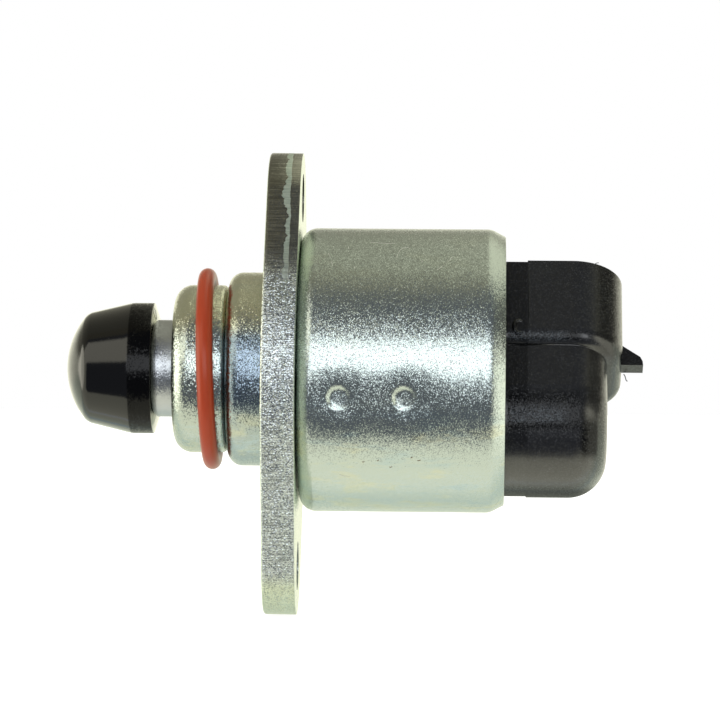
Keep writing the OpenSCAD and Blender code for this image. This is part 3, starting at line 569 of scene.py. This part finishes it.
def rim_edges(shape, x):
    return [edge for edge in shape.edges if all(on_rim(v, x) for v in edge.verts)
            and len(edge.link_faces) == 2 and edge.calc_face_angle() > 1]


shape = merged_copy("mounting_flange")
round_edges(shape, rim_edges(shape, 0.0), 0.42, 5)
round_edges(shape, rim_edges(shape, FLANGE_T), 0.1, 2)
bmesh.ops.rotate(shape, cent=(FLANGE_T * MM, 0, PIVOT_Z * MM), verts=shape.verts,
                 matrix=Matrix.Rotation(math.radians(FLANGE_LEAN), 3, "Y"))
finish_piece("flange_plate", shape, flange_metal, "mounting_flange", 40)


# Small marks are thin threads along a few points.
def thread(name, points, radius, material, node, smooth=True):
    data = bpy.data.curves.new(name + "_path", "CURVE")
    data.dimensions = "3D"
    data.bevel_depth = radius * MM
    data.bevel_resolution = 3
    data.use_fill_caps = True
    line = data.splines.new("NURBS" if smooth else "POLY")
    line.points.add(len(points) - 1)
    for spot, point in zip(line.points, points):
        spot.co = (*(Vector(point) * MM), 1)
    if smooth:
        line.use_endpoint_u = True
        line.order_u = min(4, len(points))
    path = add_object(name + "_path", data)
    bpy.context.view_layer.update()
    mesh = bpy.data.meshes.new_from_object(path.evaluated_get(bpy.context.evaluated_depsgraph_get()))
    bpy.data.objects.remove(path)
    mesh.name = name
    mesh.shade_smooth()
    mesh.materials.clear()
    mesh.materials.append(material)
    piece = add_object(name, mesh)
    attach(piece, BODY_OF[node])


PLUG_TURN = Matrix.Rotation(math.radians(-30), 3, "X")


def plug_points(points):
    return [tuple(PLUG_TURN @ Vector(point)) for point in points]


def housing_thread(name, points, radius, smooth=True):
    thread(name, points, radius, black_housing, "connector_housing", smooth)


# The base block's upper edge, where it runs under the shroud.
block_corner = arc(38.15, -3.1, 4.85, -90, 0, 10)
block_edge = [(30.4, -7.82), (32.88, -7.82), (32.92, -7.95)] + block_corner + [(43.0, 6.0)]
housing_thread("base_edge", plug_points([(x, y, -0.68) for x, y in block_edge]), 0.12, False)

# The gate mark on the neck, an open ring that rises a little at its back.
GATE_X, GATE_Z, GATE_WIDTH, GATE_HEIGHT = 31.8, 1.45, 0.62, 0.95
gate_ring = []
for angle in range(35, 330, 30):
    turn = math.radians(angle)
    gate_ring.append((GATE_X + GATE_WIDTH * math.cos(turn), -8.80 + 0.002 * abs(angle - 180),
                      GATE_Z + GATE_HEIGHT * math.sin(turn)))
housing_thread("gate_mark", plug_points(gate_ring), 0.3)
housing_thread("shroud_edge", plug_points([(33.05, -8.9, z) for z in (1.9, 4.5, 7.5, 10.3)]), 0.1)

# Flash left at the mould's joints.
housing_thread("flash_1", [(45.25, 1.2, -0.25), (45.6, 1.2, -0.55), (45.4, 1.2, -0.95), (45.75, 1.2, -1.15)],
               0.06)
housing_thread("flash_2", plug_points([(41.3, -8.3, 10.9), (41.6, -8.4, 11.2), (41.9, -8.4, 11.1)]), 0.05)
thread("flash_3", [(-14.4, -3.2, 7.7), (-14.15, -3.25, 7.35), (-14.05, -3.3, 6.9), (-14.0, -3.3, 6.2)], 0.06,
       black_head, "valve_head")


# Scratches and pits in the can.
def on_can(x, rise, out=0.0):
    """A place on the can's wall, from its place along X and its angle above the near side."""
    turn = math.radians(rise)
    return (x, -(CAN_R + out) * math.cos(turn), (CAN_R + out) * math.sin(turn))


scratched = new_material("scratched_zinc", (0.40, 0.40, 0.33), 0.0, 0.5)
SCRATCH_R, PIT_R = 0.024, 0.045
SCRATCHES = [
    [(10.35, 59), (10.6, 55), (10.84, 50.5), (11.33, 44.5)],
    [(16.5, 51.8), (16.7, 56.7), (17.4, 59.4), (18.4, 58.3), (19.7, 48.6)],
    [(7.9, 54), (8.3, 51), (8.5, 46)],
    [(13.2, 63), (15.0, 61.5), (16.2, 62)],
    [(21.5, 44), (22.6, 47.5), (23.4, 52)],
    [(9.6, -46), (10.2, -47.5), (10.9, -47)],
]
for count, track in enumerate(SCRATCHES, 1):
    thread("scratch_%d" % count, [on_can(x, rise) for x, rise in track], SCRATCH_R,
           scratched, "can")

rust = new_material("rust_spot", (0.12, 0.075, 0.03), 0.0, 0.6)
PITS = [(16.0, -41.6, 0.16), (19.5, -38.0, 0.2), (12.6, -39.0, 0.13), (14.4, -38.2, 0.1), (18.6, -36.6, 0.09)]
for count, (x, rise, size) in enumerate(PITS, 1):
    hollow = [on_can(x - size, rise), on_can(x, rise - 0.4, 0.01), on_can(x + size, rise + 0.2)]
    thread("pit_%d" % count, hollow, PIT_R, rust, "can")


# Floor, light and camera

pale = new_material("pale_floor", (0.35, 0.35, 0.35), 0.0, 0.8,
                    Emission_Color=(1, 1, 1, 1), Emission_Strength=0.85)
FLOOR_HALF, FLOOR_Z = 2, -0.0314
shape = bmesh.new()
bmesh.ops.create_grid(shape, x_segments=1, y_segments=1, size=FLOOR_HALF)
bmesh.ops.translate(shape, verts=shape.verts, vec=(0, 0, FLOOR_Z))
mesh = bpy.data.meshes.new("floor")
shape.to_mesh(mesh)
shape.free()
mesh.materials.append(pale)
floor = add_object("floor", mesh)
floor.visible_glossy = False

sun = add_object("ceiling_light", bpy.data.lights.new("ceiling_light", "SUN"))
sun.data.energy = 2.0
sun.data.angle = math.radians(100)
sun.visible_glossy = False

world = bpy.data.worlds.new("studio")
bpy.context.scene.world = world
world.use_nodes = True
tree = world.node_tree
background = tree.nodes["Background"]
direction = split(tree, tree.nodes.new("ShaderNodeTexCoord").outputs["Generated"])
back = product(tree, direction["Y"], -1.0)
# Height is the angle above the camera's level, over the top to the back; side is the angle to the right.
height = product(tree, maths(tree, "ARCTAN2", direction["Z"], back), math.degrees(1))
side = product(tree, maths(tree, "ARCSINE", direction["X"]), math.degrees(1))


def within(value, low, high, soft):
    return band(tree, value, (low - soft, low + soft), (high - soft, high + soft))


def layer(below, colour, sides, heights, side_soft, height_soft):
    inside = product(tree, within(side, *sides, side_soft), within(height, *heights, height_soft))
    return mixed(tree, inside, below, colour)


# The tent is a pale room with a dark opening on the camera's side and a bright panel in it. Each row
# gives a colour, from and to which angle it reaches sideways and in height, and how soft its borders are.
LAYERS = [
    ((0.33, 0.32, 0.25), (-90, 90), (60, 163), 12, 8),
    ((0.13, 0.13, 0.11), (40, 105), (28, 150), 5, 5),
    ((0.95, 0.95, 0.74), (2.5, 47), (81, 146), 4, 6),
    ((1.7, 1.68, 1.4), (49, 95), (-100, 24), 5, 5),
    ((0.15, 0.16, 0.178), (-48, 48), (-57, 76), 6, 2),
    ((0.32, 0.30, 0.22), (-48, 8), (66, 80), 5, 3),
    ((0.15, 0.16, 0.18), (-48, 48), (-55, -8), 6, 3),
    ((1.7, 1.65, 1.4), (-60, -18), (12, 58), 2, 3),
    ((0.90, 0.96, 0.78), (-90, 90), (-170, -116), 6, 6),
    ((1.3, 1.4, 1.42), (-40, 40), (-111, -107), 6, 1.5),
    ((0.66, 0.80, 0.80), (-50, 50), (-138, -130), 6, 2),
    ((3.2, 3.1, 2.6), (-125, -66), (-200, 200), 4, 2),
    ((2.6, 2.7, 2.8), (-19, 30), (-6, 23), 3, 3),
]
tent = (1.18, 1.17, 0.95)
for row in LAYERS:
    tent = layer(tent, *row)
seen = tree.nodes.new("ShaderNodeLightPath").outputs["Is Camera Ray"]
tree.links.new(mixed(tree, seen, tent, (1, 1, 1)), background.inputs["Color"])
background.inputs["Strength"].default_value = 1.0

CAMERA_PLACE = Vector((0.026, -0.520, 0.00127))
CAMERA_AIM = Vector((0.0117, 0.0, 0.00127))
CAMERA_ROLL = math.radians(0.50)
camera = add_object("camera", bpy.data.cameras.new("camera"))
camera.data.sensor_width = 36
camera.data.lens = 204.4
forward = (CAMERA_AIM - CAMERA_PLACE).normalized()
up = Vector((-math.sin(CAMERA_ROLL), 0, math.cos(CAMERA_ROLL)))
right = forward.cross(up).normalized()
up = right.cross(forward)
turn = Matrix((right, up, -forward)).transposed().to_4x4()
camera.matrix_world = Matrix.Translation(CAMERA_PLACE) @ turn
camera.data.clip_start = 0.01
camera.data.clip_end = 10
bpy.context.scene.camera = camera
bpy.context.scene.view_settings.view_transform = "Standard"
